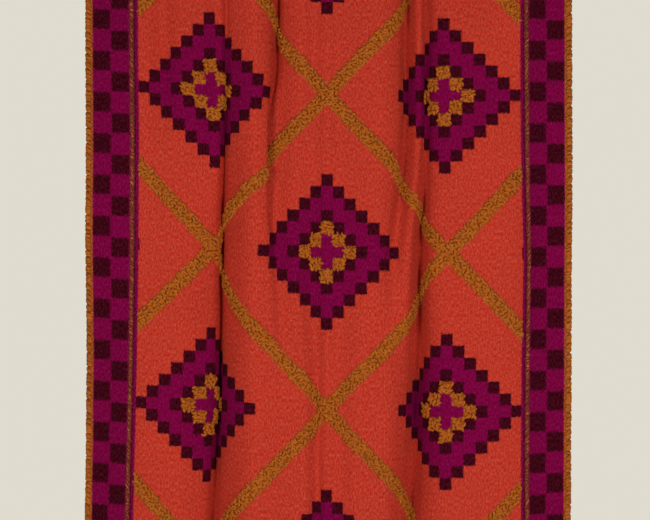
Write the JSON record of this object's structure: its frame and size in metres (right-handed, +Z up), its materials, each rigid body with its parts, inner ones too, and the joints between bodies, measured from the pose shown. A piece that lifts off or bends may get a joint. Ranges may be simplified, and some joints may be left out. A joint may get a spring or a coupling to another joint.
{
  "type": "wool blanket",
  "caption": "Heavy woven wool blanket hanging by its top edge in soft upright folds, with an overcast yarn edging along its four sides.",
  "frame": {"origin": "middle of the top edge, where the blanket is held up", "axes": "+Z up along the drop, +X to the right across the blanket seen from its face, -Y out of the face towards the viewer"},
  "size_m": [0.9918, 0.0862, 1.813],
  "materials": {
    "cloth": "brushed wool, coral with magenta, maroon and mustard woven in",
    "edging": "mustard wool yarn, overcast"
  },
  "bodies": {
    "root": {"cloth": "cloth", "edging_left": "edging", "edging_right": "edging", "edging_top": "edging", "edging_bottom": "edging"}
  },
  "joints": []
}
